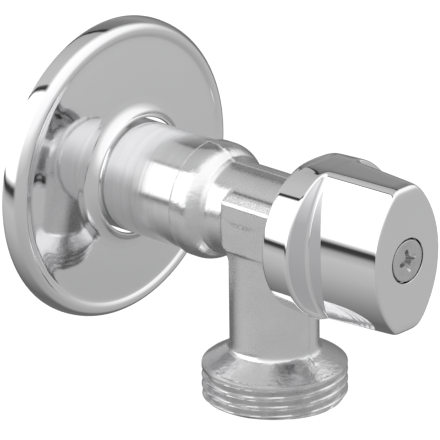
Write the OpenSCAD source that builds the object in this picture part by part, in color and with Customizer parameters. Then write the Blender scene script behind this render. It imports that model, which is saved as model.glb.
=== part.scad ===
// Angle ball valve, quarter turn, for a washing machine or sink hose.
// Origin: on the inlet axis, in the plane of the wall, where the inlet thread starts.
// +Y goes into the wall, -Y towards the knob, the outlet points down (-Z).

/* [Inlet] */
// Major diameter of the inlet thread, 1/2 inch pipe (mm)
inlet_d = 20.955; // [20.9:0.005:21]
// Length of the inlet thread behind the wall plane (mm)
inlet_len = 14; // [10:0.5:22]
// Diameter of the turned spigot between wall and shoulder (mm)
spigot_d = 20.6; // [20:0.1:20.8]
// Distance from the wall plane to the cast shoulder (mm)
shoulder_at = 24.6; // [20:0.2:26]
// Diameter of the cast shoulder that stops the rosette (mm)
shoulder_d = 21.6; // [21.4:0.1:23]
// Diameter of the water way in the inlet (mm)
inlet_bore_d = 12; // [9:0.5:14]

/* [Body] */
// Distance from the wall plane to the outlet axis (mm)
outlet_at = 40.4; // [39.8:0.1:41]
// Outer diameter of the ball chamber (mm)
chamber_d = 16.9; // [16.4:0.1:19]
// Diameter of the outlet neck (mm)
neck_d = 16.3; // [15.4:0.1:16.8]
// Wall plane to the rear edge of the knob (mm)
knob_at = 50.2; // [50:0.1:50.4]

/* [Outlet] */
// Major diameter of the outlet thread, 3/4 inch pipe (mm)
outlet_d = 26.441; // [26.3:0.001:26.5]
// Inlet axis to the end of the outlet (mm)
outlet_drop = 34.2; // [33:0.1:38]
// Length of the outlet thread (mm)
outlet_thread = 6.8; // [6:0.1:9]
// Height of the cone between neck and outlet thread (mm)
cone_h = 2.7; // [1.5:0.1:3.5]

/* [Rosette] */
// Outer diameter of the wall rosette (mm)
rosette_d = 56.2; // [52:0.2:64]
// Thickness of the pressed sheet (mm)
rosette_t = 0.6; // [0.5:0.1:0.8]
// Diameter of the hole in the rosette's collar (mm)
rosette_hole_d = 21.2; // [21.1:0.05:21.3]

/* [Knob] */
// Diameter of the round skirt of the knob (mm)
knob_d = 29.8; // [29:0.1:32]
// Height across the two flats of the knob (mm)
knob_flats = 28.7; // [27.5:0.1:28.9]
// Length of the knob along its axis (mm)
knob_len = 22.1; // [21.6:0.1:24]
// Length of the round skirt (mm)
skirt_len = 6.6; // [6:0.1:7]
// Width of the grip where it leaves the skirt (mm)
grip_w = 19.2; // [18.6:0.1:20]
// Width of the grip at the front face (mm)
grip_front_w = 17; // [16.4:0.1:18]
// Wall thickness of the knob casting (mm)
knob_wall = 1.5; // [1.2:0.1:1.6]

/* [Ball and stem] */
// Diameter of the ball (mm)
ball_d = 13; // [12.8:0.1:13]
// Diameter of the L-shaped port through the ball (mm)
port_d = 7; // [6:0.1:7.2]
// Diameter of the stem's shank (mm)
stem_d = 8; // [7:0.1:8]
// Width across the stem's square (mm)
square = 5.6; // [5:0.1:5.6]
// Gap of the running fits, on the radius (mm)
run = 0.05; // [0.02:0.01:0.1]
// Gap between the ball and its seats (mm)
seat_gap = 0.1; // [0.06:0.01:0.2]

/* [Hidden] */
$fn = 96;
inlet_r = inlet_d / 2;
spigot_r = spigot_d / 2;
shoulder_r = shoulder_d / 2;
chamber_r = chamber_d / 2;
neck_r = neck_d / 2;
outlet_r = outlet_d / 2;
knob_r = knob_d / 2;
knob_front = knob_at + knob_len;
ledge_at = knob_at + skirt_len;
ball_r = ball_d / 2;
port_r = port_d / 2;
stem_r = stem_d / 2;
bore_r = ball_r + 0.5;           // chamber bore round the ball
thread_r = 7.5;                  // bore of the bonnet's thread in the body
head_r = 10.4;                   // body's collar inside the knob's skirt
head_end = knob_at + 3;          // front face of that collar
rear_wall = outlet_at - 6.6;     // rear end of the chamber
seat_bore_r = 4.85;              // bore for the outlet seat
grip_r = 20;                     // radius of the grip's curved sides
way_r = 6.05;                    // water way in the neck

// The valve's own axis: z runs from the wall to the knob, y is up
module along() rotate([90, 0, 0]) children();
// From the outlet axis down: z is the depth below the inlet axis
module down() translate([0, 0, outlet_at]) rotate([90, 0, 0]) children();

// Points of an arc from a0 to a1 about (cx, cy)
function arc(cx, cy, r, a0, a1, n) = [for (i = [0 : n]) let (a = a0 + (a1 - a0) * i / n) [cx + r * cos(a), cy + r * sin(a)]];

// Ring with a plain rectangular section
module ring(ro, ri, h) difference() {
  cylinder(r = ro, h = h);
  translate([0, 0, -1]) cylinder(r = ri, h = h + 2);
}

// Round sealing ring, centred on z = 0
module o_ring(rc, rm) rotate_extrude() translate([rc, 0]) circle(r = rm, $fn = 32);

// One lens-shaped outline of the knob's grip, tapered to the front
module grip(w0, w1, z0, z1) {
  c = grip_r - w0 / 2;
  r1 = grip_r - (w0 - w1) / 2;
  intersection() {
    translate([-c, 0, z0]) cylinder(r1 = grip_r, r2 = r1, h = z1 - z0, $fn = 128);
    translate([c, 0, z0]) cylinder(r1 = grip_r, r2 = r1, h = z1 - z0, $fn = 128);
  }
}

// One casting: inlet spigot, shoulder, ball chamber, neck and outlet
module valve_body() color("silver") along() difference() {
  union() {
    // inlet thread as a plain cylinder at its major diameter, with relief groove, spigot, shoulder and chamber
    rotate_extrude() polygon(concat(
      [[0, -inlet_len], [inlet_r - 1.3, -inlet_len], [inlet_r, -inlet_len + 1.3], [inlet_r, 0],
       [inlet_r - 1.3, 0.6], [inlet_r - 1.3, 2], [spigot_r - 0.3, 2.6], [spigot_r, 2.9],
       [spigot_r, shoulder_at], [shoulder_r - 0.2, shoulder_at + 0.15]],
      arc(shoulder_r - 4.2, shoulder_at + 2.3, 4.2, 0, 62, 8),
      arc(chamber_r + 0.9, shoulder_at + 7.35, 0.9, 228, 180, 3),
      [[chamber_r, knob_at + 0.2], [head_r - 0.4, knob_at + 0.5], [head_r, knob_at + 0.9], [head_r, head_end], [0, head_end]]));
    // neck, cone and outlet thread as a plain cylinder at its major diameter
    down() rotate_extrude() polygon([[0, 0], [neck_r, 0],
      [neck_r, outlet_drop - outlet_thread - cone_h - 0.5], [neck_r + 0.5, outlet_drop - outlet_thread - cone_h],
      [outlet_r - 0.7, outlet_drop - outlet_thread - 0.4], [outlet_r, outlet_drop - outlet_thread + 0.3],
      [outlet_r, outlet_drop - 0.9], [outlet_r - 0.8, outlet_drop], [0, outlet_drop]]);
    // raised pad on the side of the chamber, with a bevelled top edge
    translate([0, 0, outlet_at - 4.9]) linear_extrude(height = knob_at - outlet_at + 4.7)
      polygon([[-4, -4.9], [-8.3, -4.9], [-8.75, -4.5], [-8.75, 4.2], [-7.35, 5.6], [-4, 5.9]]);
  }
  // inlet way
  translate([0, 0, -inlet_len - 1]) cylinder(d = inlet_bore_d, h = inlet_len + 1 + shoulder_at + 2.4);
  translate([0, 0, shoulder_at + 2.3]) cylinder(d1 = inlet_bore_d, d2 = port_d + 0.2, h = 3);
  cylinder(d = port_d + 0.2, h = rear_wall + 1);
  // ball chamber and the bonnet's thread
  translate([0, 0, rear_wall]) cylinder(r = bore_r, h = head_end - rear_wall + 1);
  translate([0, 0, knob_at - 2]) cylinder(r = thread_r, h = 8);
  translate([0, 0, head_end - 1.2]) cylinder(r = 8.75, h = 3);
  // outlet way: seat bore, retainer's thread and a wide mouth
  down() {
    cylinder(r = seat_bore_r, h = 10);
    translate([0, 0, 8.6]) cylinder(r = way_r, h = outlet_drop);
    translate([0, 0, outlet_drop - 6]) cylinder(r1 = way_r, r2 = 7.6, h = 1.55);
    translate([0, 0, outlet_drop - 4.45]) cylinder(r = 7.6, h = 6);
  }
}

// Front face of the pressed rosette, from the rim at the wall to the lip of the collar
rim = rosette_d / 2;
dome_r = 92;
function dome_z(r) = 4.05 + (pow(rim - 3.3, 2) - r * r) / (2 * dome_r);
rosette_pts = concat(
  [[rim, 0], [rim + 0, 0.7], [rim - 0.12, 1.6]],
  [[rim - 0.32, 2.5], [rim - 0.62, 3.3], [rim - 1.08, 3.95], [rim - 1.65, 4.33], [rim - 2.15, 4.42], [rim - 2.6, 4.3], [rim - 2.95, 4.12], [rim - 3.3, 4.05]],
  [for (r = [rim - 5, rim - 8, rim - 11, 14.4, 13.6]) [r, dome_z(r)]],
  [[12.9, dome_z(13.4) + 0.16], [12.3, dome_z(13.4) + 0.42], [11.8, dome_z(13.4) + 0.78], [11.45, dome_z(13.4) + 1.2], [11.27, dome_z(13.4) + 1.65]]);
function normal(p, i) = let (a = p[max(i - 1, 0)], b = p[min(i + 1, len(p) - 1)], d = b - a, l = norm(d)) [-d[1] / l, d[0] / l];
rosette_back = [for (i = [0 : len(rosette_pts) - 1]) rosette_pts[i] + rosette_t * normal(rosette_pts, i)];

// One pressed sheet: rolled rim, shallow dome and a collar drawn forward round the hole
module wall_rosette() color("silver") along() difference() {
  rotate_extrude($fn = 144) polygon(concat(rosette_pts, [for (i = [len(rosette_back) - 1 : -1 : 0]) [max(rosette_back[i][0], rosette_hole_d / 2 - 0.3), max(rosette_back[i][1], 0)]]));
  translate([0, 0, -1]) cylinder(d = rosette_hole_d, h = 20);
}

// Ring behind the ball, round the inlet port
module inlet_seat() color("white") along() difference() {
  translate([0, 0, rear_wall]) cylinder(r = bore_r - 0.05, h = 1.6);
  translate([0, 0, rear_wall - 1]) cylinder(r = port_r, h = 5);
  translate([0, 0, outlet_at]) sphere(r = ball_r + seat_gap);
}

// Ring under the ball, which the ball's side closes against
module outlet_seat() color("white") along() difference() {
  down() translate([0, 0, 4.7]) cylinder(r = seat_bore_r - 0.05, h = 3.5);
  down() cylinder(r = port_r, h = 12);
  translate([0, 0, outlet_at]) sphere(r = ball_r + seat_gap);
}

// Sealing ring that presses the outlet seat up
module outlet_seat_o_ring() color("dimgray") along() down() translate([0, 0, 8.66]) o_ring(4.2, 0.44);

// Threaded bush that holds the outlet seat, with two driver slots
module seat_retainer() color("goldenrod") along() down() translate([0, 0, 8.7]) difference() {
  cylinder(r = way_r - 0.05, h = 4.6);
  translate([0, 0, -1]) cylinder(r = port_r, h = 8);
  translate([0, 0, -1]) cylinder(r = 4.75, h = 1.45);
  translate([-8, -0.6, 3.4]) cube([16, 1.2, 3]);
}

// Ring in front of the ball
module stem_seat() color("white") along() difference() {
  translate([0, 0, outlet_at + 5]) cylinder(r = bore_r - 0.05, h = 1.6);
  translate([0, 0, outlet_at]) cylinder(r = 3.75, h = 12);
  translate([0, 0, outlet_at]) sphere(r = ball_r + seat_gap);
}

// Threaded bonnet: nose, thread, flange, hexagon and a raised stop rim with a window for a quarter turn
stop_z = knob_at + 7.8;
module bonnet() color("goldenrod") along() difference() {
  union() {
    translate([0, 0, outlet_at + 6.65]) cylinder(r = bore_r - 0.1, h = 3);
    translate([0, 0, knob_at - 1.9]) cylinder(r = thread_r - 0.05, h = head_end - knob_at + 2.4);
    translate([0, 0, head_end + 0.02]) cylinder(r = 9.6, h = 1.5);
    translate([0, 0, head_end + 1]) cylinder(r = 7.2, h = stop_z - head_end - 1, $fn = 6);
    translate([0, 0, stop_z - 0.5]) difference() {
      ring(6.2, 4.9, 2.1);
      // window: the lobe's own width and a quarter turn, and 3 degrees at each end
      linear_extrude(height = 4) polygon(concat([[0, 0]], [for (a = [293, 270, 225, 180, 157]) [14 * cos(a), 14 * sin(a)]]));
    }
  }
  translate([0, 0, outlet_at]) cylinder(r = 5.6, h = 8.55);
  translate([0, 0, outlet_at]) cylinder(r = stem_r + run, h = 30);
}

// Sealing ring between bonnet and body
module bonnet_o_ring() color("dimgray") along() translate([0, 0, head_end - 0.6]) o_ring(8.1, 0.58);

// Low friction ring between the stem's collar and the bonnet
module thrust_washer() color("white") along() translate([0, 0, outlet_at + 7.95]) ring(5.4, stem_r + run + 0.02, 0.5);

// Ball with an L-shaped port, in from the rear and out at the bottom, and a slot for the stem
module ball() color("silver") along() translate([0, 0, outlet_at]) difference() {
  sphere(r = ball_r);
  translate([0, 0, -ball_d]) cylinder(r = port_r, h = ball_d);
  rotate([90, 0, 0]) cylinder(r = port_r, h = ball_d);
  sphere(r = port_r);
  translate([-10, -1.55, 3.5]) cube([20, 3.1, 10]);
}

// Turned stem: tongue, thrust collar, shank with two grooves, square and tapped end
module ball_stem() color("goldenrod") along() difference() {
  union() {
    intersection() {
      translate([-10, -1.5, outlet_at + 3.6]) cube([20, 3, 4]);
      translate([0, 0, outlet_at]) cylinder(r = 3.55, h = 10);
    }
    translate([0, 0, outlet_at + 6.7]) cylinder(r = 5.4, h = 1.2);
    translate([0, 0, outlet_at + 7]) cylinder(r = stem_r, h = stop_z + 0.2 - outlet_at - 7);
    translate([-square / 2, -square / 2, stop_z]) cube([square, square, 9.2]);
  }
  for (z = [knob_at + 1.2, knob_at + 4.4]) translate([0, 0, z]) ring(stem_r + 1, stem_r - 1.1, 1.5);
  // clip groove in the square
  translate([0, 0, stop_z + 1.85]) ring(8, 2.4, 0.9);
  // tapped hole for the screw
  translate([0, 0, stop_z + 3.4]) cylinder(r = 1.98, h = 20);
}

module stem_o_ring_inner() color("dimgray") along() translate([0, 0, knob_at + 1.95]) o_ring(stem_r - 0.52, 0.53);
module stem_o_ring_outer() color("dimgray") along() translate([0, 0, knob_at + 5.15]) o_ring(stem_r - 0.52, 0.53);

// Plate on the square, whose lobe meets the ends of the bonnet's rim
module stop_plate() color("goldenrod") along() translate([0, 0, stop_z + 0.3]) difference() {
  union() {
    cylinder(r = 4.6, h = 1.3);
    intersection() {
      cylinder(r = 6.2, h = 1.3);
      linear_extrude(height = 1.3) polygon([[0, 0], [12 * cos(250), 12 * sin(250)], [12 * cos(270), 12 * sin(270)], [12 * cos(290), 12 * sin(290)]]);
    }
  }
  translate([-square / 2 - 0.05, -square / 2 - 0.05, -1]) cube([square + 0.1, square + 0.1, 4]);
}

// Open spring clip in the stem's groove
module retaining_clip() color("dimgray") along() translate([0, 0, stop_z + 1.9]) difference() {
  ring(4.9, 2.45, 0.8);
  translate([-1.7, 0, -1]) cube([3.4, 8, 3]);
}

// Moulded insert: square socket inside, teeth outside
module knob_insert() color("white") along() difference() {
  union() {
    translate([0, 0, stop_z + 2.9]) cylinder(r = 5.2, h = 7);
    for (a = [0 : 22.5 : 359]) rotate([0, 0, a]) translate([4.5, -0.5, stop_z + 2.9]) cube([1.4, 1, 7]);
  }
  translate([-square / 2 - 0.05, -square / 2 - 0.05, 0]) cube([square + 0.1, square + 0.1, stop_z + 9.25]);
  cylinder(r = 2.2, h = 100);
}

// Hollow casting: lens-shaped grip with flats at top and bottom, on a round skirt
module knob() color("silver") along() difference() {
  union() {
    intersection() {
      translate([0, 0, knob_at]) cylinder(r = knob_r, h = skirt_len);
      translate([-20, -knob_flats / 2, 0]) cube([40, knob_flats, 100]);
    }
    intersection() {
      grip(grip_w, grip_front_w, ledge_at - 0.5, knob_front);
      translate([0, 0, knob_at]) cylinder(r = knob_r, h = knob_len);
      // the two flats, rounded over to the front face
      rotate([90, 0, 90]) linear_extrude(height = 40, center = true) polygon(concat(
        [[-knob_flats / 2, 0], [knob_flats / 2, 0]],
        arc(knob_flats / 2 - 1.3, knob_front - 1.3, 1.3, 0, 90, 4),
        arc(1.3 - knob_flats / 2, knob_front - 1.3, 1.3, 90, 180, 4)));
    }
  }
  // hollow of the skirt
  translate([0, 0, knob_at - 1]) cylinder(r = knob_r - 2.2, h = skirt_len + 1 - knob_wall);
  // hollow of the grip, round the boss
  difference() {
    intersection() {
      grip(grip_w - 2 * knob_wall, grip_front_w - 2 * knob_wall, ledge_at - 2, knob_front - 2.6);
      translate([0, 0, knob_at]) cylinder(r = knob_r - 2.2, h = knob_len);
      translate([-20, -knob_flats / 2 + knob_wall + 0.6, 0]) cube([40, knob_flats - 2 * knob_wall - 1.2, 100]);
    }
    translate([0, 0, stop_z + 2.9]) cylinder(r = 7.6, h = 20);
  }
  // toothed socket for the insert
  translate([0, 0, stop_z + 2]) cylinder(r = 5.25, h = 8);
  for (a = [0 : 22.5 : 359]) rotate([0, 0, a]) translate([4, -0.55, stop_z + 2]) cube([1.95, 1.1, 8]);
  // screw hole with its recess
  cylinder(r = 2.2, h = 100);
  translate([0, 0, knob_front - 2.35]) cylinder(r1 = 2.2, r2 = 4.2, h = 1.55);
  translate([0, 0, knob_front - 0.81]) cylinder(r = 4.2, h = 2);
}

// Countersunk machine screw with a cross recess
module knob_screw() color("silver") along() difference() {
  union() {
    translate([0, 0, stop_z + 4.4]) cylinder(r = 1.95, h = knob_front - stop_z - 5.4);
    translate([0, 0, knob_front - 2.28]) cylinder(r1 = 1.95, r2 = 3.9, h = 1.5);
    translate([0, 0, knob_front - 0.79]) cylinder(r = 3.9, h = 0.7);
    translate([0, 0, stop_z + 3.8]) cylinder(r1 = 1.4, r2 = 1.95, h = 0.61);
  }
  for (a = [20, 110]) rotate([0, 0, a]) {
    translate([-2.1, -0.42, knob_front - 1.2]) cube([4.2, 0.84, 3]);
    translate([-1.3, -0.36, knob_front - 1.9]) cube([2.6, 0.72, 3]);
  }
}

valve_body();
wall_rosette();
inlet_seat();
outlet_seat();
outlet_seat_o_ring();
seat_retainer();
stem_seat();
bonnet();
bonnet_o_ring();
thrust_washer();
ball();
ball_stem();
stem_o_ring_inner();
stem_o_ring_outer();
stop_plate();
retaining_clip();
knob_insert();
knob();
knob_screw();
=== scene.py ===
import bpy, bmesh, math
import numpy as np
from mathutils import Matrix, Vector


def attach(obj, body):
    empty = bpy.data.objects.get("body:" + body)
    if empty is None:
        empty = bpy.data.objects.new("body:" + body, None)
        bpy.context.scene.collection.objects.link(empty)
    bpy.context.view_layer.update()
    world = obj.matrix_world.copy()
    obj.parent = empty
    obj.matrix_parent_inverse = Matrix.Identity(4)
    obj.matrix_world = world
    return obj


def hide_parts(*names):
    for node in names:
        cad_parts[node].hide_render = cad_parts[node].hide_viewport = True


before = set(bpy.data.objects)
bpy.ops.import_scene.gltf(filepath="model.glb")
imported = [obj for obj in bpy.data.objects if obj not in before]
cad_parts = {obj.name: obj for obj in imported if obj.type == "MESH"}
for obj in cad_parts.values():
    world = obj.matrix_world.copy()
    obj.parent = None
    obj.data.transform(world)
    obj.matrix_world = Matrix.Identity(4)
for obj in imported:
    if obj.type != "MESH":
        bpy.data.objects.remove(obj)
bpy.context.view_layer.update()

MM = 0.001
# All shapes below are computed in millimetres in the row frame. d is the distance from the
# wall plane towards the knob, so d = -y. The outlet hangs from the axis at d = OUT.
OUT = 40.4
KNOB = 50.2
FRONT = 72.3
PITCH = 1.814


# ---------------------------------------------------------------- mesh helpers
def to_object(name, verts, faces, body, nodes=()):
    me = bpy.data.meshes.new(name)
    me.from_pydata((np.asarray(verts, float) * MM).tolist(), [], [list(map(int, f)) for f in faces])
    me.validate()
    me.update()
    ob = bpy.data.objects.new(name, me)
    bpy.context.scene.collection.objects.link(ob)
    for p in me.polygons:
        p.use_smooth = True
    if body:
        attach(ob, body)
    if nodes:
        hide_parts(*nodes)
    return ob


def grid_faces(rows, cols, wrap_rows=False, flip=False):
    """Quads of a rows x cols grid that closes round its columns, and round its rows too if wrap_rows."""
    r = np.arange(rows if wrap_rows else rows - 1)
    c = np.arange(cols)
    R, C = np.meshgrid(r, c, indexing="ij")
    a = R * cols + C
    b = R * cols + (C + 1) % cols
    e = ((R + 1) % rows) * cols + (C + 1) % cols
    f = ((R + 1) % rows) * cols + C
    q = np.stack([a, b, e, f], -1).reshape(-1, 4)
    return q[:, ::-1] if flip else q


def mesh_volume(V, F):
    """Signed volume of a closed mesh, to turn its faces outwards."""
    vol = 0.0
    for f in F:
        p = V[list(f)]
        for i in range(1, len(p) - 1):
            vol += np.dot(p[0], np.cross(p[i], p[i + 1]))
    return vol / 6


def solid_from_rows(rows, axis):
    """Closed solid of revolution-like rows: rows is a list of (radius array or number, position along the axis).
    axis 'y' turns about the inlet axis (position is y), 'z' about the outlet axis (position is z)."""
    cols = max(len(np.atleast_1d(r)) for r, _ in rows)
    ang = np.linspace(0, 2 * np.pi, cols, endpoint=False)
    V = []
    for r, p in rows:
        r = np.broadcast_to(np.asarray(r, float), (cols,))
        p = np.broadcast_to(np.asarray(p, float), (cols,))
        if axis == "y":
            V.append(np.stack([r * np.sin(ang), p, r * np.cos(ang)], 1))
        else:
            V.append(np.stack([r * np.cos(ang), -OUT + r * np.sin(ang), p], 1))
    n = len(rows)
    V = np.concatenate(V)
    F = grid_faces(n, cols).tolist()
    F.append(list(range(cols))[::-1])
    F.append(list(range((n - 1) * cols, n * cols)))
    c = V.mean(0)
    q = np.array(grid_faces(n, cols))
    P = V[q] - c
    vol = np.einsum("ij,ij->i", P[:, 0], np.cross(P[:, 1], P[:, 2])).sum() + np.einsum("ij,ij->i", P[:, 0], np.cross(P[:, 2], P[:, 3])).sum()
    if vol < 0:
        F = [f[::-1] for f in F]
    return V, F


def catmull(pts, step):
    """A smooth curve through pts, sampled about every step."""
    P = np.array(pts, float)
    P = np.vstack([2 * P[0] - P[1], P, 2 * P[-1] - P[-2]])
    out = []
    for i in range(1, len(P) - 2):
        p0, p1, p2, p3 = P[i - 1:i + 3]
        n = max(2, int(math.ceil(np.linalg.norm(p2 - p1) / step)))
        t = np.linspace(0, 1, n, endpoint=False)[:, None]
        out.append(0.5 * (2 * p1 + (p2 - p0) * t + (2 * p0 - 5 * p1 + 4 * p2 - p3) * t ** 2 + (3 * p1 - p0 - 3 * p2 + p3) * t ** 3))
    out.append(P[-2][None])
    return np.concatenate(out)


def smin(a, b, k):
    h = np.maximum(k - np.abs(a - b), 0) / k
    return np.minimum(a, b) - h * h * k * 0.25


def smax(a, b, k):
    return -smin(-a, -b, k)


def gradient(f, P, e=0.01):
    K = np.array([[1, -1, -1], [-1, -1, 1], [-1, 1, -1], [1, 1, 1]], float)
    g = np.zeros_like(P)
    for k in K:
        Q = P + e * k
        g += k * f(Q[:, 0], Q[:, 1], Q[:, 2])[:, None]
    return g / (4 * e)


def surface_nets(f, lo, hi, h, relax=3):
    """Quad mesh of f = 0 with its corners moved onto the true surface and evened out along it."""
    ax = [lo[i] + h * np.arange(int(math.ceil((hi[i] - lo[i]) / h)) + 1) for i in range(3)]
    X, Y, Z = np.meshgrid(*ax, indexing="ij")
    V = f(X, Y, Z)
    S = V < 0
    sh = S.shape
    tot = np.zeros([s - 1 for s in sh], np.int8)
    off = [(i, j, k) for i in (0, 1) for j in (0, 1) for k in (0, 1)]
    for i, j, k in off:
        tot += S[i:sh[0] - 1 + i, j:sh[1] - 1 + j, k:sh[2] - 1 + k]
    act = (tot > 0) & (tot < 8)
    idx = np.argwhere(act)
    cid = -np.ones(act.shape, np.int64)
    cid[act] = np.arange(len(idx))
    val = {o: V[idx[:, 0] + o[0], idx[:, 1] + o[1], idx[:, 2] + o[2]] for o in off}
    pos = np.zeros((len(idx), 3))
    cnt = np.zeros(len(idx))
    for a in off:
        for d in range(3):
            if a[d]:
                continue
            b = list(a)
            b[d] = 1
            b = tuple(b)
            va, vb = val[a], val[b]
            m = (va < 0) != (vb < 0)
            t = np.where(m, va / np.where(m, va - vb, 1), 0)
            p = np.array(a, float)[None] + t[:, None] * (np.array(b, float) - np.array(a, float))
            pos[m] += p[m]
            cnt[m] += 1
    P = np.array([x[0] for x in ax]) + h * (idx + pos / cnt[:, None])
    F = []
    cyc = {0: [(0, -1, -1), (0, 0, -1), (0, 0, 0), (0, -1, 0)], 1: [(-1, 0, -1), (-1, 0, 0), (0, 0, 0), (0, 0, -1)], 2: [(-1, -1, 0), (0, -1, 0), (0, 0, 0), (-1, 0, 0)]}
    for d in range(3):
        a = [slice(None)] * 3
        b = [slice(None)] * 3
        a[d] = slice(0, -1)
        b[d] = slice(1, None)
        e = S[tuple(a)] != S[tuple(b)]
        for o in range(3):
            if o != d:
                cut = [slice(None)] * 3
                cut[o] = slice(0, 1)
                e[tuple(cut)] = False
                cut[o] = slice(-1, None)
                e[tuple(cut)] = False
        ii = np.argwhere(e)
        inside = S[ii[:, 0], ii[:, 1], ii[:, 2]]
        q = np.stack([cid[ii[:, 0] + c[0], ii[:, 1] + c[1], ii[:, 2] + c[2]] for c in cyc[d]], 1)
        q[~inside] = q[~inside][:, ::-1]
        F.append(q)
    F = np.concatenate(F)
    for it in range(relax + 3):
        for _ in range(2):
            v = f(P[:, 0], P[:, 1], P[:, 2])
            g = gradient(f, P)
            step = (v / np.maximum((g * g).sum(1), 0.1))[:, None] * g
            ln = np.linalg.norm(step, axis=1, keepdims=True)
            P = P - step * np.minimum(1, 0.5 * h / np.maximum(ln, 1e-9))
        if it < relax:
            n = g / np.maximum(np.linalg.norm(g, axis=1, keepdims=True), 1e-9)
            acc = np.zeros_like(P)
            num = np.zeros(len(P))
            for a, b in ((0, 1), (1, 2), (2, 3), (3, 0)):
                for s, t in ((a, b), (b, a)):
                    for c in range(3):
                        acc[:, c] += np.bincount(F[:, s], P[F[:, t], c], len(P))
                    num += np.bincount(F[:, s], minlength=len(P))
            avg = acc / np.maximum(num, 1)[:, None]
            mv = avg - P
            mv -= n * (mv * n).sum(1, keepdims=True)
            P = P + 0.6 * mv
    return P, F


def drop_folds(me):
    """Split many-sided faces and remove the pairs with no thickness between them, left where two joined surfaces share a plane."""
    bm = bmesh.new()
    bm.from_mesh(me)
    bmesh.ops.triangulate(bm, faces=[f for f in bm.faces if len(f.verts) > 3])
    bmesh.ops.remove_doubles(bm, verts=bm.verts, dist=1e-8)
    bm.verts.index_update()
    same = {}
    for f in bm.faces:
        same.setdefault(frozenset(v.index for v in f.verts), []).append(f)
    bmesh.ops.delete(bm, geom=[f for g in same.values() if len(g) > 1 for f in g], context="FACES")
    # slivers of a few faces that hang on nothing
    left = set(bm.faces)
    loose = []
    while left:
        todo = [left.pop()]
        part = list(todo)
        while todo:
            for e in todo.pop().edges:
                for g in e.link_faces:
                    if g in left:
                        left.remove(g)
                        todo.append(g)
                        part.append(g)
        if len(part) < 12:
            loose += part
    bmesh.ops.delete(bm, geom=loose, context="FACES")
    bm.to_mesh(me)
    bm.free()


def boolean(ob, cutter, op):
    m = ob.modifiers.new("b", "BOOLEAN")
    m.operation = op
    m.solver = "MANIFOLD"
    m.object = cutter
    dg = bpy.context.evaluated_depsgraph_get()
    me = bpy.data.meshes.new_from_object(ob.evaluated_get(dg))
    ob.modifiers.clear()
    old = ob.data
    ob.data = me
    me.materials.clear()
    bpy.data.meshes.remove(old)
    bpy.data.objects.remove(cutter)


def true_normals(ob, fields, pick=None):
    """Corner normals taken from the exact surfaces, so that reflections stay smooth over every face."""
    me = ob.data
    nv, nl, nf = len(me.vertices), len(me.loops), len(me.polygons)
    P = np.empty(nv * 3); me.vertices.foreach_get("co", P); P = P.reshape(-1, 3) / MM
    lv = np.empty(nl, np.int64); me.loops.foreach_get("vertex_index", lv)
    ls = np.empty(nf, np.int64); me.polygons.foreach_get("loop_start", ls)
    lt = np.empty(nf, np.int64); me.polygons.foreach_get("loop_total", lt)
    fc = np.empty(nf * 3); me.polygons.foreach_get("center", fc); fc = fc.reshape(-1, 3) / MM
    fn = np.empty(nf * 3); me.polygons.foreach_get("normal", fn); fn = fn.reshape(-1, 3)
    vals = np.stack([np.abs(f(fc[:, 0], fc[:, 1], fc[:, 2])) for f in fields])
    best = vals.argmin(0)
    lf = np.repeat(np.arange(nf), lt)
    N = fn[lf].copy()
    for i, f in enumerate(fields):
        m = best[lf] == i
        if not m.any():
            continue
        # a point just inside its own face decides which side of a crease a corner belongs to
        Q = P[lv[m]] * 0.94 + fc[lf[m]] * 0.06
        g = gradient(f, Q, 0.004)
        ln = np.linalg.norm(g, axis=1, keepdims=True)
        g = g / np.maximum(ln, 1e-9)
        s = (g * fn[lf[m]]).sum(1)
        g[s < 0] *= -1
        s = np.abs(s)
        g[(s < 0.75) | (ln[:, 0] < 0.2)] = fn[lf[m]][(s < 0.75) | (ln[:, 0] < 0.2)]
        N[m] = g
    me.normals_split_custom_set(N.tolist())


# ---------------------------------------------------------------- thread form
def whitworth(t):
    """Depth of a 55 degree pipe thread with rounded crests and roots at phase t, 0 at a root's middle, from 0 to 1."""
    u = np.abs((t + 0.5) % 1 - 0.5) * 2          # 0 at the root, 1 at the crest
    depth = 1.0 - np.clip((u - 0.11) / 0.78, 0, 1)
    return 0.5 - 0.5 * np.cos(np.pi * np.clip(depth, 0, 1)) * (0.25) - 0.5 * (1 - 2 * depth) * 0.75 if False else depth * 0.8 + 0.2 * (0.5 - 0.5 * np.cos(np.pi * depth))


THREAD_DEPTH = 1.162


def ease(x):
    x = np.clip(x, 0, 1)
    return x * x * (3 - 2 * x)


# ---------------------------------------------------------------- valve body
def table(x, pts):
    return np.interp(x, [p[0] for p in pts], [p[1] for p in pts])


def arc_pts(cx, cy, r, a0, a1, n):
    return [(cx + r * math.cos(math.radians(a0 + (a1 - a0) * i / n)), cy + r * math.sin(math.radians(a0 + (a1 - a0) * i / n))) for i in range(n + 1)]


# radius of the casting along d: rounded shoulder behind the turned spigot, ball chamber, collar in the knob
CAST = ([(24.6, 10.55), (24.66, 10.68), (24.8, 10.78), (25.1, 10.8)]
        + [(26.7 + 4.7 * math.sin(math.radians(a)), 6.1 + 4.7 * math.cos(math.radians(a))) for a in range(0, 52, 3)]
        + [(31.15, 8.72), (31.5, 8.55), (32.0, 8.47), (32.6, 8.45), (50.5, 8.45), (50.75, 9.4), (51.0, 10.2), (51.3, 10.4), (53.2, 10.4)])
CD = np.array([p[0] for p in CAST]); CR = np.array([p[1] for p in CAST])
NECKZ = np.array([-30.6, -27.9, -27.6, -27.35, -24.95, -24.7, -24.4, -24.0, -23.4, 0.0])
NECKR = np.array([11.5, 11.5, 11.6, 12.95, 8.85, 8.52, 8.31, 8.19, 8.13, 8.13])


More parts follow.
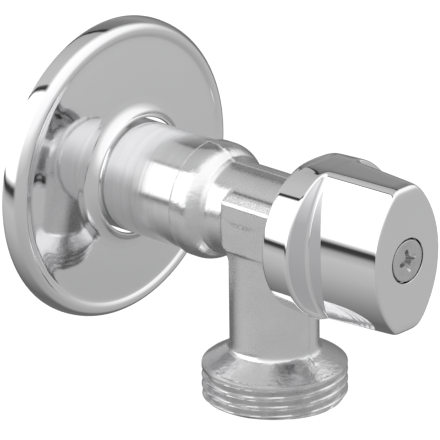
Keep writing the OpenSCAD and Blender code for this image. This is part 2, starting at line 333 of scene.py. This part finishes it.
def cast_field(x, y, z):
    d = -y
    r = np.hypot(x, z)
    main = (r - np.interp(d, CD, CR)) * 0.8
    main = np.maximum(main, np.maximum(24.6 - d, d - 53.2))
    rn = np.hypot(x, d - OUT)
    neck = (rn - np.interp(z, NECKZ, NECKR)) * 0.75
    neck = np.maximum(neck, np.maximum(z - 0.0, -30.6 - z))
    # the neck joined to the horizontal part with a rounded fillet
    f = smin(main, neck, 1.5)
    # raised pad with rounded corners and a bevel along its top
    qd = np.abs(d - 43.9) - (8.4 - 1.5)
    qz = np.abs(z - 0.5) - (5.4 - 1.5)
    pad = np.hypot(np.maximum(qd, 0), np.maximum(qz, 0)) + np.minimum(np.maximum(qd, qz), 0) - 1.5
    pad = smax(pad, -8.75 - x, 0.45)
    pad = smax(pad, (-x + z) * 0.70711 - (8.75 + 4.25) * 0.70711, 0.25)
    pad = np.maximum(pad, x + 3)
    pad = np.maximum(pad, d - 50.3)
    f = smin(f, pad, 0.5)
    # mould parting line: a fine raised seam in the plane x = 0
    ax = np.abs(x)
    seam = np.maximum(ax - 0.28, 0)
    lift = 0.13 * np.exp(-(ax / 0.3) ** 2)
    outer = ((z < -8) & (d > OUT)) | (z > 6)
    on = outer & (z > -27.2) & (d < 50.3)
    f = f - np.where(on, lift, 0)
    return f


def make_body():
    P, F = surface_nets(cast_field, (-13.4, -53.5, -30.9), (13.4, -24.3, 11.2), 0.33)
    ob = to_object("valve_body_shape", P, F, "body", ["valve_body"])

    # inlet thread, relief groove and turned spigot, as one turned solid
    cols = 200
    ang = np.linspace(0, 2 * np.pi, cols, endpoint=False)
    rows = []
    for d in list(np.arange(-14.0, 0.95, 0.125)):
        y = -d
        t = (y / PITCH - ang / (2 * np.pi)) % 1
        amp = ease((-d + 0.9) / 0.5)
        r = 10.4775 - THREAD_DEPTH * whitworth(t) * np.clip(amp, 0, 1)
        r = np.minimum(r, 10.4775 - max(0.0, (-12.75 - d)) * 1.02)
        if d > 0:
            r = np.minimum(r, 10.4775 - 1.3 * ease(d / 0.7))
        rows.append((r, y))
    for d, r in [(1.1, 9.18), (1.8, 9.18), (2.05, 9.3), (2.3, 9.7), (2.55, 10.05), (2.7, 10.2), (2.85, 10.28), (3.0, 10.3)]:
        rows.append((r, -d))
    for d in np.arange(4.0, 24.5, 1.0):
        rows.append((10.3, -d))
    rows += [(10.3, -24.5), (10.3, -25.2)]
    V, Fr = solid_from_rows(rows, "y")
    spig = to_object("t1", V, Fr, None)
    boolean(ob, spig, "UNION")

    # outlet thread
    cols = 232
    ang = np.linspace(0, 2 * np.pi, cols, endpoint=False)
    rows = []
    for z in np.arange(-34.2, -27.24, 0.12):
        zg = -30.02 + PITCH * (ang - math.radians(-47.5)) / (2 * np.pi)
        t = ((z - zg) / PITCH) % 1
        amp = ease((-27.75 - z) / 0.9)
        r = 13.22 - THREAD_DEPTH * whitworth(t) * amp
        r = np.minimum(r, 13.22 - max(0.0, -33.45 - z) * 1.15)
        r = np.minimum(r, 13.22 - 1.3 * max(0.0, z + 27.62) ** 1.0 * 1.25)
        rows.append((r, z))
    V, Fr = solid_from_rows(rows, "z")
    thr = to_object("t2", V, Fr, None)
    boolean(ob, thr, "UNION")

    # water ways and the chamber
    c = 120
    rows = [(np.full(c, r), -d) for d, r in [(-15, 6.9), (-14.0, 6.35), (-13.65, 6.0), (26.9, 6.0), (29.9, 3.6), (33.8, 3.6), (33.81, 7.0), (48.2, 7.0), (48.21, 7.5), (52.0, 7.5), (52.01, 8.75), (52.95, 8.75), (53.3, 9.1), (54, 9.1)]]
    V, Fr = solid_from_rows(rows, "y")
    boolean(ob, to_object("t3", V, Fr, None), "DIFFERENCE")
    rows = [(np.full(c, r), z) for z, r in [(-35, 8.6), (-34.2, 7.95), (-33.85, 7.6), (-29.75, 7.6), (-28.2, 6.05), (-8.6, 6.05), (-8.59, 4.85), (-1, 4.85)]]
    V, Fr = solid_from_rows(rows, "z")
    boolean(ob, to_object("t4", V, Fr, None), "DIFFERENCE")

    me = ob.data
    drop_folds(me)
    for p in me.polygons:
        p.use_smooth = True
    me.set_sharp_from_angle(angle=math.radians(32))
    # zones: 0 cast, 1 turned spigot, 2 threads, 3 bores
    n = len(me.polygons)
    C = np.empty(n * 3); me.polygons.foreach_get("center", C); C = C.reshape(-1, 3) / MM
    Nn = np.empty(n * 3); me.polygons.foreach_get("normal", Nn); Nn = Nn.reshape(-1, 3)
    x, d, z = C[:, 0], -C[:, 1], C[:, 2]
    r = np.hypot(x, z)
    rn = np.hypot(x, d - OUT)
    idx = np.zeros(n, np.int32)
    idx[(d < 24.62)] = 1
    idx[(d < 2.3)] = 2
    idx[(z < -27.3)] = 2
    inner = ((r < 7.9) & (z > -8) & (d < 53) & ((x * Nn[:, 0] + z * Nn[:, 2]) < 0)) | ((rn < 7.9) & (z < -8) & ((x * Nn[:, 0] + (OUT - d) * Nn[:, 1]) < 0)) | ((r < 6.5) & (d < 34))
    idx[inner] = 3
    me.polygons.foreach_set("material_index", idx)
    return ob


# ---------------------------------------------------------------- knob
def lens(x, z, u, w0, w1):
    """Distance to the grip's two curved sides. u runs from the skirt's rear edge."""
    c = 20.0 - 9.6
    rl = 20.0 - (9.6 - w0) - (w0 - w1) * np.clip((u - 6.6) / 15.5, -0.4, 1.05)
    return np.maximum(np.hypot(x + c, z) - rl, np.hypot(x - c, z) - rl)


def knob_outer(x, y, z):
    u = -y - KNOB
    r = np.hypot(x, z)
    skirt = r - (14.5 + 0.36 * np.clip(u / 6.6, 0, 1))
    skirt = smax(skirt, -u, 0.9)
    skirt = smax(skirt, u - 6.6, 0.75)
    c = 20.0 - 9.6
    rl = 20.0 - 1.1 * (u - 6.6) / 15.5
    sides = np.maximum(np.hypot(x + c, z) - rl, np.hypot(x - c, z) - rl)
    grip = smax(sides, r - 14.86, 0.3)
    grip = smax(grip, -u, 0.9)
    grip = np.maximum(grip, -(u - 2.0))
    f = smin(skirt, grip, 0.8)
    flat = np.abs(z) - (14.38 - 0.014 * u)
    front = u - 22.1
    f = smax(f, flat, 1.0)
    cap = smax(flat, front, 2.4)
    f = smax(f, front, 0.62)
    f = smax(f, cap, 0.5)
    return f


def knob_field(x, y, z):
    f = knob_outer(x, y, z)
    u = -y - KNOB
    r = np.hypot(x, z)
    hollow = np.maximum(r - 12.7, u - 5.1)
    hollow = smax(r - 12.7, u - 5.1, 0.6)
    g = smax(lens(x, z, u, 8.1, 7.0), np.abs(z) - 12.2, 0.8)
    g = smax(g, r - 12.7, 0.6)
    g = smax(g, u - 19.5, 0.8)
    g = np.maximum(g, 3.5 - u)
    boss = np.maximum(7.6 - r, -(u - 10.7))
    boss = np.where(u > 10.7, 7.6 - r, np.hypot(np.maximum(7.6 - r, 0), 10.7 - u))
    boss = np.maximum(-(r - 7.6) * 1.0, (10.7 - u) * 0)
    bossin = np.maximum(r - 7.6, 10.7 - u)          # negative inside the boss
    g = smax(g, -bossin, 0.5)
    hollow = smin(hollow, g, 0.4)
    return smax(f, -hollow, 0.35)


def make_knob():
    P, F = surface_nets(knob_field, (-15.3, -FRONT - 0.4, -14.9), (15.3, -KNOB + 0.4, 14.9), 0.25)
    ob = to_object("knob_shape", P, F, "handle", ["knob"])
    c = 96
    rows = [(np.full(c, r), -(KNOB + u)) for u, r in [(9.5, 6.3), (10.69, 6.3), (10.7, 5.97), (17.8, 5.97), (17.81, 2.2), (19.75, 2.2), (21.2, 4.2), (21.92, 4.2), (22.1, 4.36), (22.2, 4.5), (22.8, 4.5)]]
    V, Fr = solid_from_rows(rows, "y")
    boolean(ob, to_object("t5", V, Fr, None), "DIFFERENCE")

    def hole(x, y, z):
        u = -y - KNOB
        return -(np.hypot(x, z) - np.interp(u, [9.5, 10.69, 10.7, 17.8, 17.81, 19.75, 21.2, 21.92, 22.1, 22.2, 22.8], [6.3, 6.3, 5.97, 5.97, 2.2, 2.2, 4.2, 4.2, 4.36, 4.5, 4.5]))
    me = ob.data
    for p in me.polygons:
        p.use_smooth = True
    true_normals(ob, [knob_field, hole])
    return ob


# ---------------------------------------------------------------- rosette
def rosette_profile():
    rim = [(28.02, 0.03), (28.08, 0.5), (28.05, 1.2), (27.93, 2.0), (27.66, 2.85), (27.2, 3.6), (26.62, 4.1), (26.05, 4.3), (25.6, 4.25), (25.2, 4.02), (24.95, 3.84), (24.7, 3.78), (24.3, 3.82)]
    R0 = 92.0
    dz = lambda r: 3.87 + (24.0 ** 2 - r * r) / (2 * R0)
    dome = [(r, dz(r)) for r in (23.5, 22, 20, 18, 16.5, 15.2, 14.4)]
    b = dz(13.8)
    horn = [(13.7, b + 0.08), (13.05, b + 0.26), (12.5, b + 0.53), (12.05, b + 0.86), (11.7, b + 1.24), (11.47, b + 1.6), (11.36, b + 1.82)]
    front = catmull(rim + dome + horn, 0.22)
    t = np.gradient(front, axis=0)
    n = np.stack([-t[:, 1], t[:, 0]], 1)
    n /= np.linalg.norm(n, axis=1, keepdims=True)
    if n[len(n) // 2, 1] > 0:
        n = -n
    back = front + 0.6 * n
    back[:, 1] = np.maximum(back[:, 1], 0.02)
    back[:, 0] = np.maximum(back[:, 0], 10.66)
    # rounded lip between the front's end and the back's end
    a, e = front[-1], back[-1]
    mid = (a + e) / 2
    tip = t[-1] / np.linalg.norm(t[-1]) * 0.26
    lip = [a * 0.5 + (mid + tip) * 0.5 + (a - mid) * 0.28, mid + tip, e * 0.5 + (mid + tip) * 0.5 + (e - mid) * 0.28]
    a0, e0 = front[0], back[0]
    return np.vstack([front, lip, back[::-1]])


def make_rosette():
    prof = rosette_profile()
    cols = 288
    ang = np.linspace(0, 2 * np.pi, cols, endpoint=False)
    V = np.concatenate([np.stack([r * np.sin(ang), np.full(cols, -d), r * np.cos(ang)], 1) for r, d in prof])
    F = grid_faces(len(prof), cols, wrap_rows=True)
    P = V[F]
    vol = np.einsum("ij,ij->i", P[:, 0], np.cross(P[:, 1], P[:, 2])).sum() + np.einsum("ij,ij->i", P[:, 0], np.cross(P[:, 2], P[:, 3])).sum()
    if vol < 0:
        F = F[:, ::-1]
    ob = to_object("wall_rosette_shape", V, F, "rosette", ["wall_rosette"])
    ob.data.set_sharp_from_angle(angle=math.radians(50))
    return ob


# ---------------------------------------------------------------- screw
def make_screw():
    c = 96
    prof = [(61.85, 1.3), (62.45, 1.95), (70.02, 1.95), (71.5, 3.9), (71.98, 3.9), (72.12, 3.84), (72.19, 3.72), (72.21, 3.5)]
    rows = [(np.full(c, r), -d) for d, r in prof]
    V, Fr = solid_from_rows(rows, "y")
    ob = to_object("knob_screw_shape", V, Fr, "handle", ["knob_screw"])
    # cross recess: tapered arms that meet in a cone
    for a in (11, 101):
        s, co = math.sin(math.radians(a)), math.cos(math.radians(a))
        pts = []
        for d, L, w in ((70.5, 1.15, 0.34), (71.3, 1.75, 0.40), (72.6, 2.45, 0.5)):
            ring = []
            for i in range(16):
                t = 2 * math.pi * i / 16
                px = np.sign(math.cos(t)) * (L - w) + w * math.cos(t)
                pz = w * math.sin(t)
                ring.append((px * co - pz * s, -d, px * s + pz * co))
            pts.append(ring)
        V = np.array(sum(pts, []))
        F = []
        for k in range(2):
            for i in range(16):
                j = (i + 1) % 16
                F.append([k * 16 + i, k * 16 + j, (k + 1) * 16 + j, (k + 1) * 16 + i])
        F.append(list(range(16))[::-1])
        F.append(list(range(32, 48)))
        c0 = V.mean(0)
        vol = sum(np.dot(V[f[0]] - c0, np.cross(V[f[1]] - c0, V[f[2]] - c0)) for f in F)
        if vol < 0:
            F = [f[::-1] for f in F]
        boolean(ob, to_object("t6", V, F, None), "DIFFERENCE")
    V, Fr = solid_from_rows([(np.full(32, 0.25), -69.9), (np.full(32, 0.75), -70.8), (np.full(32, 0.98), -72.6)], "y")
    boolean(ob, to_object("t7", V, Fr, None), "DIFFERENCE")
    for p in ob.data.polygons:
        p.use_smooth = True
    ob.data.set_sharp_from_angle(angle=math.radians(28))
    return ob


# ---------------------------------------------------------------- materials
class Mat:
    def __init__(self, name):
        self.m = bpy.data.materials.new(name)
        self.m.use_nodes = True
        self.t = self.m.node_tree
        self.t.nodes.clear()
        self.out = self.t.nodes.new("ShaderNodeOutputMaterial")
        self.p = self.t.nodes.new("ShaderNodeBsdfPrincipled")
        self.t.links.new(self.p.outputs[0], self.out.inputs[0])
        self.co = self.t.nodes.new("ShaderNodeTexCoord").outputs["Object"]
        self.normal = None

    def n(self, kind, **kw):
        node = self.t.nodes.new(kind)
        for k, v in kw.items():
            setattr(node, k, v)
        return node

    def link(self, a, b):
        self.t.links.new(a, b)

    def mapped(self, scale):
        mp = self.n("ShaderNodeMapping")
        mp.inputs["Scale"].default_value = scale
        self.link(self.co, mp.inputs["Vector"])
        return mp.outputs[0]

    def noise(self, scale, detail=3.0, rough=0.5, vec=None, dist=0.0):
        k = self.n("ShaderNodeTexNoise")
        k.inputs["Scale"].default_value = scale
        k.inputs["Detail"].default_value = detail
        k.inputs["Roughness"].default_value = rough
        k.inputs["Distortion"].default_value = dist
        self.link(vec if vec is not None else self.co, k.inputs["Vector"])
        return k.outputs["Fac"]

    def remap(self, v, a, b, c, d):
        k = self.n("ShaderNodeMapRange")
        k.inputs["From Min"].default_value = a
        k.inputs["From Max"].default_value = b
        k.inputs["To Min"].default_value = c
        k.inputs["To Max"].default_value = d
        self.link(v, k.inputs["Value"])
        return k.outputs[0]

    def math(self, op, a, b=None):
        k = self.n("ShaderNodeMath", operation=op)
        for i, v in enumerate((a, b)):
            if v is None:
                continue
            if isinstance(v, (int, float)):
                k.inputs[i].default_value = v
            else:
                self.link(v, k.inputs[i])
        return k.outputs[0]

    def bump(self, h, strength, dist):
        k = self.n("ShaderNodeBump")
        k.inputs["Strength"].default_value = strength
        k.inputs["Distance"].default_value = dist
        self.link(h, k.inputs["Height"])
        if self.normal is not None:
            self.link(self.normal, k.inputs["Normal"])
        self.normal = k.outputs[0]
        self.link(self.normal, self.p.inputs["Normal"])

    def colour(self, v, a, b, lo=0.0, hi=1.0):
        k = self.n("ShaderNodeValToRGB")
        k.color_ramp.elements[0].position = lo
        k.color_ramp.elements[0].color = (*a, 1)
        k.color_ramp.elements[1].position = hi
        k.color_ramp.elements[1].color = (*b, 1)
        self.link(v, k.inputs[0])
        self.link(k.outputs[0], self.p.inputs["Base Color"])

    def rough(self, v, a, b, lo=0.3, hi=0.7):
        self.link(self.remap(v, lo, hi, a, b), self.p.inputs["Roughness"])


def chrome(name, base, rough, wave, smudge=(0.02, 0.05)):
    m = Mat(name)
    m.p.inputs["Metallic"].default_value = 1.0
    n1 = m.noise(60, 2.0)
    m.colour(n1, tuple(c * 0.985 for c in base), base, 0.35, 0.65)
    m.rough(m.noise(140, 4.0, 0.6), rough[0], rough[1])
    m.bump(m.noise(90, 1.0, 0.4), wave, 0.0002)
    return m


def make_materials():
    M = {}
    M["knob"] = chrome("chromed_knob", (0.86, 0.86, 0.87), (0.025, 0.05), 0.03).m

    # pressed sheet: mirror with a very slight orange peel, a little rougher than the knob
    m = chrome("chromed_sheet", (0.84, 0.84, 0.85), (0.05, 0.085), 0.05)
    M["rosette"] = m.m

    # turned spigot: fine tool marks round the axis
    m = Mat("turned_chrome")
    m.p.inputs["Metallic"].default_value = 1.0
    lines = m.noise(1.0, 3.0, 0.65, m.mapped((25, 2600, 25)))
    broad = m.noise(1.0, 2.0, 0.5, m.mapped((18, 500, 18)))
    m.colour(broad, (0.78, 0.78, 0.785), (0.86, 0.86, 0.865), 0.3, 0.7)
    m.rough(lines, 0.13, 0.24)
    m.bump(lines, 0.25, 0.00003)
    m.bump(broad, 0.10, 0.00008)
    M["turned"] = m.m

    # cast areas: chrome over a grainy casting, coarse on the shoulder and the cone, smoother on neck and chamber
    m = Mat("cast_chrome")
    m.p.inputs["Metallic"].default_value = 1.0
    grain = m.noise(1500, 4.0, 0.6)
    coarse = m.noise(700, 3.0, 0.55)
    lump = m.noise(140, 2.0, 0.5)
    geo = m.n("ShaderNodeSeparateXYZ")
    m.link(m.co, geo.inputs[0])
    # rough zones: the shoulder (d 24 to 31 mm) and the cone (z below -24 mm)
    dist = m.math("MULTIPLY", geo.outputs[1], -1000.0)
    zz = m.math("MULTIPLY", geo.outputs[2], -1000.0)
    za = m.remap(dist, 31.5, 29.5, 0.0, 1.0)
    zb = m.remap(zz, 24.0, 25.2, 0.0, 1.0)
    zone = m.math("MAXIMUM", za, zb)
    m.colour(lump, (0.77, 0.77, 0.775), (0.85, 0.85, 0.855), 0.3, 0.7)
    rr = m.math("ADD", m.remap(grain, 0.3, 0.7, 0.2, 0.3), m.math("MULTIPLY", zone, -0.04))
    m.link(rr, m.p.inputs["Roughness"])
    h = m.math("ADD", m.math("MULTIPLY", coarse, m.math("ADD", m.math("MULTIPLY", zone, 1.0), 0.12)), m.math("MULTIPLY", grain, 0.25))
    m.bump(lump, 0.25, 0.0002)
    m.bump(h, 0.45, 0.00018)
    M["cast"] = m.m

    m = Mat("thread_chrome")
    m.p.inputs["Metallic"].default_value = 1.0
    m.colour(m.noise(300, 3.0), (0.72, 0.72, 0.725), (0.83, 0.83, 0.835), 0.3, 0.7)
    m.rough(m.noise(900, 3.0), 0.16, 0.28)
    m.bump(m.noise(1.0, 2.0, 0.5, m.mapped((60, 60, 2500))), 0.12, 0.00003)
    M["thread"] = m.m

    m = Mat("bore_brass")
    m.p.inputs["Metallic"].default_value = 1.0
    m.colour(m.noise(350, 4.0), (0.62, 0.52, 0.33), (0.74, 0.62, 0.4), 0.3, 0.7)
    m.rough(m.noise(900, 3.0), 0.28, 0.42)
    m.bump(m.noise(1100, 3.0), 0.2, 0.00005)
    M["bore"] = m.m

    m = Mat("screw_steel")
    m.p.inputs["Metallic"].default_value = 1.0
    m.colour(m.noise(500, 3.0), (0.60, 0.60, 0.60), (0.70, 0.70, 0.70), 0.3, 0.7)
    m.rough(m.noise(1800, 3.0), 0.18, 0.3)
    m.bump(m.noise(1300, 3.0), 0.12, 0.00005)
    M["screw"] = m.m

    m = Mat("brass")
    m.p.inputs["Metallic"].default_value = 1.0
    m.colour(m.noise(260, 4.0), (0.66, 0.49, 0.22), (0.80, 0.62, 0.30), 0.3, 0.7)
    m.rough(m.noise(900, 3.0), 0.2, 0.34)
    m.bump(m.noise(1.0, 3.0, 0.6, m.mapped((60, 2400, 60))), 0.2, 0.00003)
    M["brass"] = m.m

    m = Mat("spring_steel")
    m.p.inputs["Metallic"].default_value = 1.0
    m.colour(m.noise(400, 3.0), (0.16, 0.16, 0.18), (0.30, 0.30, 0.33), 0.3, 0.7)
    m.rough(m.noise(1200, 3.0), 0.25, 0.4)
    m.bump(m.noise(1500, 2.0), 0.1, 0.00003)
    M["steel"] = m.m

    m = Mat("seal_white")
    m.colour(m.noise(200, 3.0), (0.80, 0.80, 0.77), (0.88, 0.88, 0.85), 0.3, 0.7)
    m.rough(m.noise(700, 3.0), 0.4, 0.55)
    m.bump(m.noise(1500, 3.0), 0.1, 0.00004)
    M["seal"] = m.m

    m = Mat("insert_plastic")
    m.colour(m.noise(150, 3.0), (0.74, 0.73, 0.68), (0.82, 0.81, 0.76), 0.3, 0.7)
    m.rough(m.noise(600, 3.0), 0.38, 0.5)
    m.bump(m.noise(2200, 2.0), 0.08, 0.00003)
    M["plastic"] = m.m

    m = Mat("seal_rubber")
    m.colour(m.noise(300, 3.0), (0.012, 0.012, 0.013), (0.03, 0.03, 0.03), 0.3, 0.7)
    m.rough(m.noise(900, 3.0), 0.45, 0.6)
    m.bump(m.noise(2500, 2.0), 0.1, 0.00003)
    M["rubber"] = m.m
    return M


# ---------------------------------------------------------------- build
M = make_materials()
body = make_body()
for k in ("cast", "turned", "thread", "bore"):
    body.data.materials.append(M[k])
knob = make_knob()
knob.data.materials.append(M["knob"])
rosette = make_rosette()
rosette.data.materials.append(M["rosette"])
screw = make_screw()
screw.data.materials.append(M["screw"])
CARRIED = {"inlet_seat": "seal", "outlet_seat": "seal", "stem_seat": "seal", "thrust_washer": "seal", "outlet_seat_o_ring": "rubber", "bonnet_o_ring": "rubber",
           "stem_o_ring_inner": "rubber", "stem_o_ring_outer": "rubber", "seat_retainer": "brass", "bonnet": "brass", "ball_stem": "brass", "stop_plate": "brass",
           "retaining_clip": "steel", "knob_insert": "plastic", "ball": "knob"}
for name, mat in CARRIED.items():
    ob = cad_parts[name]
    if not ob.material_slots:
        ob.data.materials.append(M[mat])
    for s in ob.material_slots:
        s.material = M[mat]

# ---------------------------------------------------------------- stage
scene = bpy.context.scene
scene.view_settings.view_transform = "Standard"
scene.view_settings.look = "None"

# pale floor, well below the valve, which hangs from its inlet as in the photograph
fl = bpy.data.meshes.new("floor")
s, nseg = 6.0, 24
gv = [(-s + 2 * s * i / nseg, -s + 2 * s * j / nseg, -0.16) for i in range(nseg + 1) for j in range(nseg + 1)]
gf = [(i * (nseg + 1) + j, (i + 1) * (nseg + 1) + j, (i + 1) * (nseg + 1) + j + 1, i * (nseg + 1) + j + 1) for i in range(nseg) for j in range(nseg)]
fl.from_pydata(gv, [], gf)
floor = bpy.data.objects.new("floor", fl)
scene.collection.objects.link(floor)
fm = Mat("pale_floor")
fm.colour(fm.noise(3.0, 2.0), (0.93, 0.93, 0.93), (0.96, 0.96, 0.96), 0.3, 0.7)
fm.p.inputs["Roughness"].default_value = 0.9
fl.materials.append(fm.m)
floor.visible_glossy = False

# the studio: a tent of soft light for the floor, and for reflections soft boxes and dark flags placed by direction
w = bpy.data.worlds.new("studio")
scene.world = w
w.use_nodes = True
t = w.node_tree
t.nodes.clear()
N = t.nodes.new
L = t.links.new
out = N("ShaderNodeOutputWorld")
bg = N("ShaderNodeBackground")
L(bg.outputs[0], out.inputs[0])
tc = N("ShaderNodeTexCoord")
sep = N("ShaderNodeSeparateXYZ")
L(tc.outputs["Generated"], sep.inputs[0])


def wmath(op, a, b=None, c=None):
    k = N("ShaderNodeMath")
    k.operation = op
    for i, v in enumerate((a, b, c)):
        if v is None:
            continue
        if isinstance(v, (int, float)):
            k.inputs[i].default_value = v
        else:
            L(v, k.inputs[i])
    return k.outputs[0]


def ramp(v, stops):
    k = N("ShaderNodeValToRGB")
    e = k.color_ramp.elements
    while len(e) > 1:
        e.remove(e[-1])
    e[0].position = stops[0][0]
    e[0].color = (stops[0][1],) * 3 + (1,)
    for p, c in stops[1:]:
        q = e.new(p)
        q.color = (c, c, c, 1)
    L(v, k.inputs[0])
    return k.outputs[0]


X, Y, Z = sep.outputs
ang = wmath("ARCTAN2", Z, wmath("MULTIPLY", X, -1.0))          # round the inlet axis: 0 to the left, 90 degrees up
fac = wmath("MULTIPLY_ADD", ang, 1 / (2 * math.pi), 0.5)


def A(deg):
    return deg / 360 + 0.5


SIDE = [(A(-180), 0.20), (A(-150), 0.17), (A(-95), 0.15), (A(-70), 0.30), (A(-40), 0.52), (A(-22), 0.60), (A(-15), 0.45), (A(-11), 0.05), (A(-7), 0.04), (A(-3), 0.9), (A(-1), 1.5),
        (A(61), 1.5), (A(62.5), 0.03), (A(66), 0.03), (A(67.5), 0.62), (A(84), 0.60), (A(121), 0.48), (A(122.5), 0.03), (A(126), 0.03), (A(128), 0.20), (A(145), 0.26), (A(160), 0.36), (A(180), 0.22)]
side = ramp(fac, SIDE)
FRONTS = [(0.0, 0.50), (0.25, 0.46), (0.5, 0.52), (0.75, 0.60), (1.0, 0.50)]
front = ramp(wmath("MULTIPLY_ADD", Z, 0.5, 0.5), [(0.0, 0.40), (0.3, 0.52), (0.5, 0.56), (0.62, 0.75), (0.75, 1.1), (1.0, 1.2)])
mixf = N("ShaderNodeMapRange")
mixf.inputs["From Min"].default_value = -0.15
mixf.inputs["From Max"].default_value = 0.15
L(Y, mixf.inputs["Value"])
mx = N("ShaderNodeMix")
mx.data_type = "RGBA"
L(mixf.outputs[0], mx.inputs[0])
L(front, mx.inputs[6])
L(side, mx.inputs[7])
lp = N("ShaderNodeLightPath")
mx2 = N("ShaderNodeMix")
mx2.data_type = "RGBA"
L(lp.outputs["Is Glossy Ray"], mx2.inputs[0])
mx2.inputs[6].default_value = (1.15, 1.15, 1.15, 1)
L(mx.outputs[2], mx2.inputs[7])
L(mx2.outputs[2], bg.inputs[0])
bg.inputs[1].default_value = 1.0

# ---------------------------------------------------------------- camera at the photograph's view
az, el, roll = math.radians(-47.522), math.radians(21.454), math.radians(-0.645)
dist, ppmm = 1331.33, 5.6
back = Vector((math.sin(az) * math.cos(el), -math.cos(az) * math.cos(el), math.sin(el)))
target = Vector((-8.285, -35.0, 0.674)) * MM
cam = bpy.data.cameras.new("camera")
cam.sensor_width = 36
cam.lens = ppmm * dist / 440 * 36
cam.clip_start = 0.05
cam.clip_end = 50
camera = bpy.data.objects.new("camera", cam)
scene.collection.objects.link(camera)
right = (-back).cross(Vector((0, 0, 1))).normalized()
up = right.cross(-back)
r2 = right * math.cos(roll) + up * math.sin(roll)
u2 = -right * math.sin(roll) + up * math.cos(roll)
m = Matrix((r2, u2, back)).transposed().to_4x4()
m.translation = target + back * dist * MM
camera.matrix_world = m
scene.camera = camera
